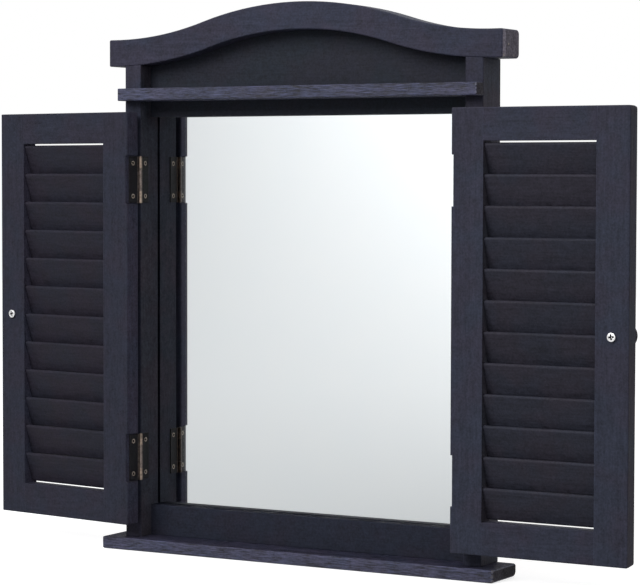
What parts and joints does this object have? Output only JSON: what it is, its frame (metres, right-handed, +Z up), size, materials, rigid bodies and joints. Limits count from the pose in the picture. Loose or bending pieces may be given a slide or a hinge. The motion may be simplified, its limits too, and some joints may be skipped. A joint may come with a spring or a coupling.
{
  "type": "shutter mirror",
  "caption": "Wall mirror in a painted wooden window frame with an arched crown, a ledge, a sill and a pair of louvred shutters that close over the glass.",
  "frame": {"origin": "on the wall plane at the back of the header, midway between the two keyhole entries that the frame hangs by", "axes": "+X to the right as seen from the front, +Y back into the wall, +Z up"},
  "size_m": [0.6959, 0.0638, 0.53],
  "materials": {
    "frame_paint": "satin navy-black paint on closed-grain wood",
    "shutter_paint": "satin navy-black paint on closed-grain wood",
    "slat_paint": "satin navy-black paint",
    "board_paint": "worn blue-grey paint over open grain",
    "header_paint": "satin navy-black paint",
    "knob_paint": "satin navy-black paint",
    "silvered_glass": "clear glass silvered on its back",
    "back_board": "bare hardboard",
    "dowel_wood": "bare beech",
    "aged_brass": "dulled brass plate",
    "zinc": "bright zinc plate"
  },
  "bodies": {
    "frame": {"left_post": "frame_paint", "right_post": "frame_paint", "crown": "frame_paint", "crown_dowels": "dowel_wood", "header_panel": "header_paint", "ledge": "board_paint", "ledge_screws": "zinc", "bottom_rail": "frame_paint", "sill": "board_paint", "sill_screws": "zinc", "mirror_glass": "silvered_glass", "back_panel": "back_board", "back_panel_screws": "zinc", "hanger_plates": "aged_brass", "hanger_screws": "zinc", "hinge_pins": "aged_brass", "frame_leaf_screws": "aged_brass", "left_frame_leaves": "aged_brass", "right_frame_leaves": "aged_brass"},
    "left_shutter": {"left_shutter_leaves": "aged_brass", "left_shutter_leaf_screws": "aged_brass", "left_hinge_stile": "shutter_paint", "left_free_stile": "shutter_paint", "left_shutter_top_rail": "shutter_paint", "left_shutter_bottom_rail": "shutter_paint", "left_knob": "knob_paint", "left_knob_screw": "zinc", "left_slat_01": "slat_paint", "left_slat_02": "slat_paint", "left_slat_03": "slat_paint", "left_slat_04": "slat_paint", "left_slat_05": "slat_paint", "left_slat_06": "slat_paint", "left_slat_07": "slat_paint", "left_slat_08": "slat_paint", "left_slat_09": "slat_paint", "left_slat_10": "slat_paint", "left_slat_11": "slat_paint", "left_slat_12": "slat_paint"},
    "right_shutter": {"right_shutter_leaves": "aged_brass", "right_shutter_leaf_screws": "aged_brass", "right_hinge_stile": "shutter_paint", "right_free_stile": "shutter_paint", "right_shutter_top_rail": "shutter_paint", "right_shutter_bottom_rail": "shutter_paint", "right_knob": "knob_paint", "right_knob_screw": "zinc", "right_slat_01": "slat_paint", "right_slat_02": "slat_paint", "right_slat_03": "slat_paint", "right_slat_04": "slat_paint", "right_slat_05": "slat_paint", "right_slat_06": "slat_paint", "right_slat_07": "slat_paint", "right_slat_08": "slat_paint", "right_slat_09": "slat_paint", "right_slat_10": "slat_paint", "right_slat_11": "slat_paint", "right_slat_12": "slat_paint"}
  },
  "joints": [
    {"name": "left_hinge", "type": "hinge", "parent": "frame", "child": "left_shutter", "pos_m": [-0.1742, -0.039, 0], "axis": [0, 0, 1], "range_deg": [0, 189]},
    {"name": "right_hinge", "type": "hinge", "parent": "frame", "child": "right_shutter", "pos_m": [0.1742, -0.039, 0], "axis": [0, 0, -1], "range_deg": [-10, 179]}
  ]
}
